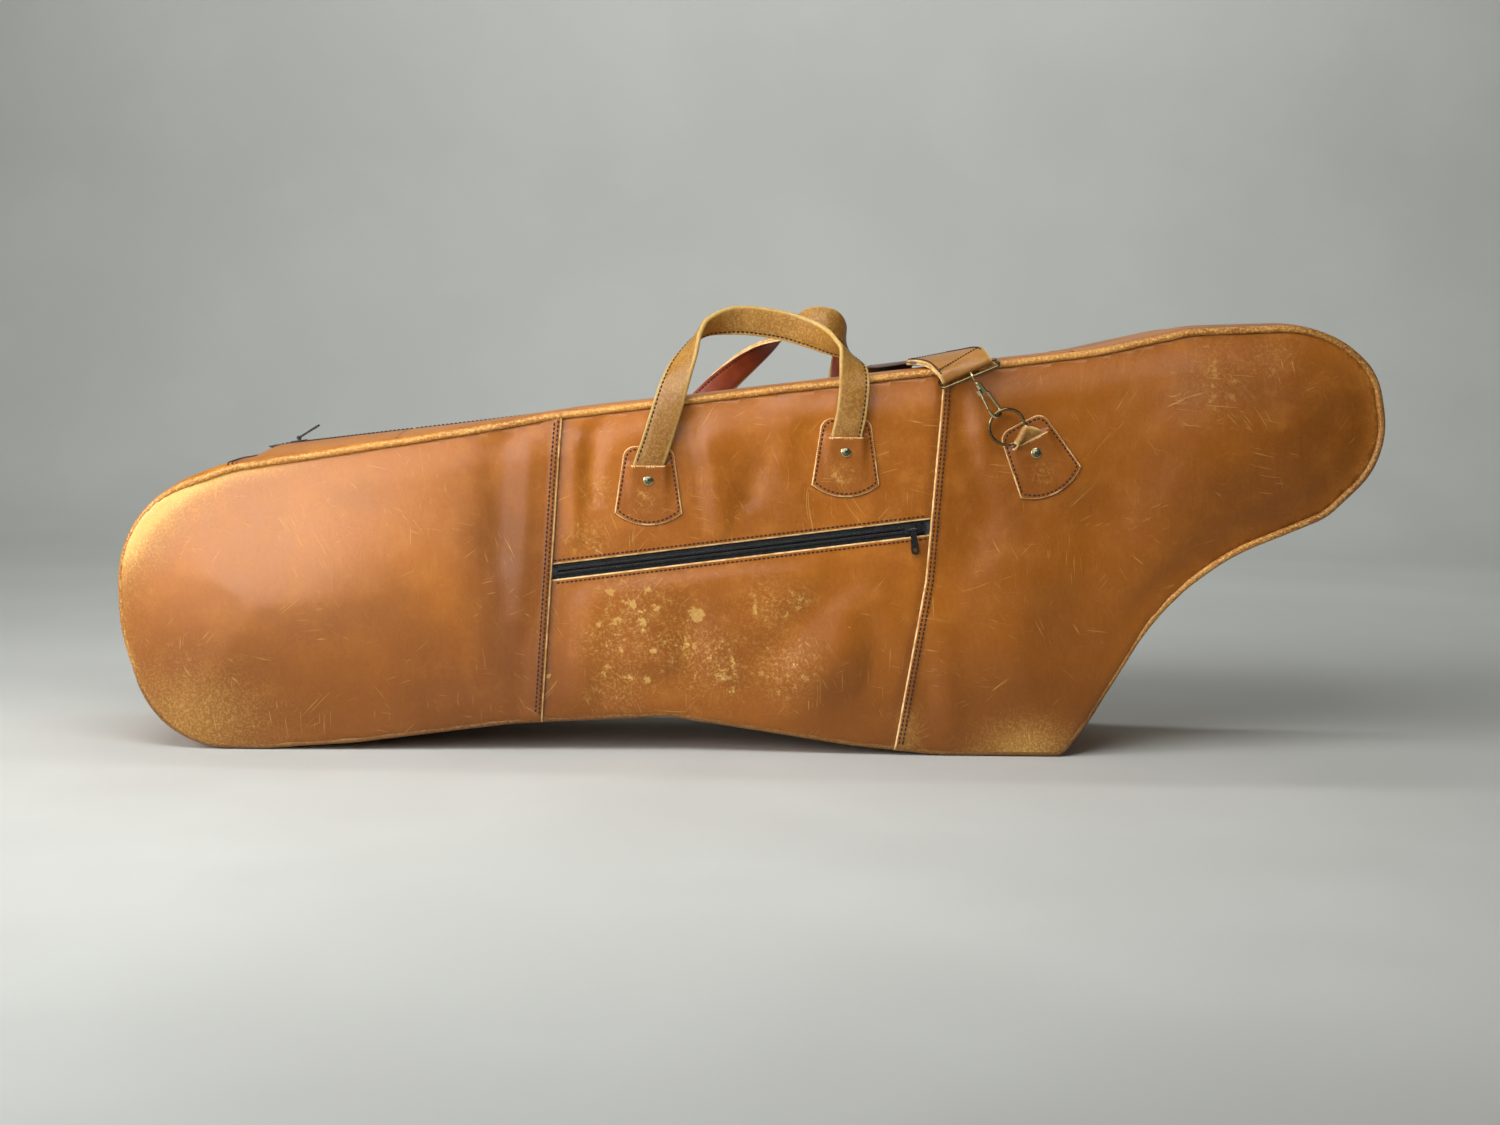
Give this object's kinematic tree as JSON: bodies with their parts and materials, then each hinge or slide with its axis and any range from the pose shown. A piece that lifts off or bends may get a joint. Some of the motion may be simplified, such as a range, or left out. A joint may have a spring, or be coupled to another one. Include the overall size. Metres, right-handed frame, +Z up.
{
  "type": "saxophone gig bag",
  "caption": "Soft leather gig bag shaped for a baritone saxophone, with zip mouth, folded handles, zipped front pocket and a shoulder strap on snap hooks.",
  "frame": {"origin": "on the floor under the middle of the bag", "axes": "+X from the wide bell end to the neck end, -Y the face with the pocket, +Z up"},
  "size_m": [1.1818, 0.2676, 0.426],
  "materials": {
    "tan_leather": "smooth pull-up leather, scuffed",
    "worn_leather": "rolled edge, worn light on the crown",
    "handle_leather": "pale worn leather",
    "foam": "closed-cell foam",
    "lining_cloth": "brushed nylon",
    "black_nylon": "woven tape and nylon coil",
    "grey_webbing": "ribbed webbing",
    "antique_brass": "antique plated, polished where it rubs",
    "black_metal": "black lacquer"
  },
  "bodies": {
    "root": {"front_left_panel": "tan_leather", "front_right_panel": "tan_leather", "front_upper_panel": "tan_leather", "front_pocket_panel": "tan_leather", "rear_left_panel": "tan_leather", "rear_right_panel": "tan_leather", "rear_middle_panel": "tan_leather", "pocket_tape": "black_nylon", "pocket_coil": "black_nylon", "pocket_pouch": "lining_cloth", "front_padding": "foam", "rear_padding": "foam", "front_lining": "lining_cloth", "rear_lining": "lining_cloth", "front_welt": "worn_leather", "rear_welt": "worn_leather", "end_gusset": "tan_leather", "bottom_gusset": "tan_leather", "zip_gusset_right": "tan_leather", "mouth_edges": "tan_leather", "gusset_padding": "foam", "gusset_lining": "lining_cloth", "nose_padding": "foam", "zip_gusset_left": "tan_leather", "zip_tape_fixed": "black_nylon", "zip_coil_fixed": "black_nylon", "zip_stops": "black_metal", "front_left_handle_patch": "tan_leather", "front_right_handle_patch": "tan_leather", "rear_left_handle_patch": "tan_leather", "rear_right_handle_patch": "tan_leather", "front_ring_patch": "tan_leather", "rear_ring_patch": "tan_leather", "strap_webbing": "grey_webbing", "ring_loops": "handle_leather", "hook_swivels": "antique_brass", "strap_rings": "antique_brass", "strap_tabs": "tan_leather", "patch_rivets": "antique_brass"},
    "main_slider": {"main_slider": "black_metal"},
    "main_pull": {"main_pull": "black_metal"},
    "pocket_slider": {"pocket_slider": "black_metal"},
    "pocket_pull": {"pocket_pull": "black_metal"},
    "front_handle": {"front_handle": "handle_leather"},
    "rear_handle": {"rear_handle": "handle_leather"},
    "front_flap": {"front_flap_leather": "tan_leather", "front_flap_padding": "foam", "front_flap_tape": "black_nylon", "front_flap_coil": "black_nylon"},
    "rear_flap": {"rear_flap_leather": "tan_leather", "rear_flap_padding": "foam", "rear_flap_tape": "black_nylon", "rear_flap_coil": "black_nylon"},
    "front_ring": {"front_ring": "antique_brass"},
    "front_hook": {"front_hook": "antique_brass"},
    "front_gate": {"front_gate": "antique_brass"},
    "rear_ring": {"rear_ring": "antique_brass"},
    "rear_hook": {"rear_hook": "antique_brass"},
    "rear_gate": {"rear_gate": "antique_brass"}
  },
  "joints": [
    {"name": "main_zip_slide", "type": "slide", "parent": "root", "child": "main_slider", "axis": [0.9921, 0, 0.1258], "range_m": [0, 0.756]},
    {"name": "main_pull_tilt", "type": "hinge", "parent": "main_slider", "child": "main_pull", "pos_m": [-0.4436, 0, 0.29026], "axis": [0, 1, 0], "range_deg": [-125, 18]},
    {"name": "pocket_zip_slide", "type": "slide", "parent": "root", "child": "pocket_slider", "axis": [0.9917, 0, 0.1288], "range_m": [-0.322, 0]},
    {"name": "pocket_pull_lift", "type": "hinge", "parent": "pocket_slider", "child": "pocket_pull", "pos_m": [0.15112, -0.1163, 0.214], "axis": [-0.9917, 0, -0.1288], "range_deg": [0, 150]},
    {"name": "front_handle_swing", "type": "hinge", "parent": "root", "child": "front_handle", "pos_m": [-0.095, -0.118, 0.271], "axis": [0.9885, 0, 0.1512], "range_deg": [0, 150]},
    {"name": "rear_handle_swing", "type": "hinge", "parent": "root", "child": "rear_handle", "pos_m": [-0.095, 0.118, 0.271], "axis": [-0.9885, 0, -0.1512], "range_deg": [0, 125]},
    {"name": "front_flap_fold", "type": "hinge", "parent": "root", "child": "front_flap", "pos_m": [-0.33, -0.098, 0.28869], "axis": [-0.9907, 0, -0.1362], "range_deg": [0, 85]},
    {"name": "rear_flap_fold", "type": "hinge", "parent": "root", "child": "rear_flap", "pos_m": [-0.33, 0.098, 0.28869], "axis": [0.9907, 0, 0.1362], "range_deg": [0, 85]},
    {"name": "front_ring_spin", "type": "hinge", "parent": "root", "child": "front_ring", "pos_m": [0.236, -0.1214, 0.31], "axis": [0.0832, -0.9907, -0.1072], "continuous": true},
    {"name": "front_hook_swivel", "type": "hinge", "parent": "root", "child": "front_hook", "pos_m": [0.20266, -0.12475, 0.35573], "axis": [0.6115, 0.0698, -0.7881], "range_deg": [-12, 4]},
    {"name": "front_gate_press", "type": "hinge", "parent": "front_hook", "child": "front_gate", "pos_m": [0.21139, -0.12698, 0.33871], "axis": [0.5889, -0.7054, 0.3945], "range_deg": [0, 20]},
    {"name": "rear_ring_spin", "type": "hinge", "parent": "root", "child": "rear_ring", "pos_m": [-0.2815, 0.1214, 0.2435], "axis": [-0.1266, 0.9907, 0.0489], "continuous": true},
    {"name": "rear_hook_swivel", "type": "hinge", "parent": "root", "child": "rear_hook", "pos_m": [-0.22811, 0.12475, 0.22472], "axis": [-0.9307, -0.0698, 0.3591], "range_deg": [-12, 4]},
    {"name": "rear_gate_press", "type": "hinge", "parent": "rear_hook", "child": "rear_gate", "pos_m": [-0.24693, 0.12698, 0.22819], "axis": [0.2085, 0.7054, 0.6775], "range_deg": [0, 20]}
  ]
}
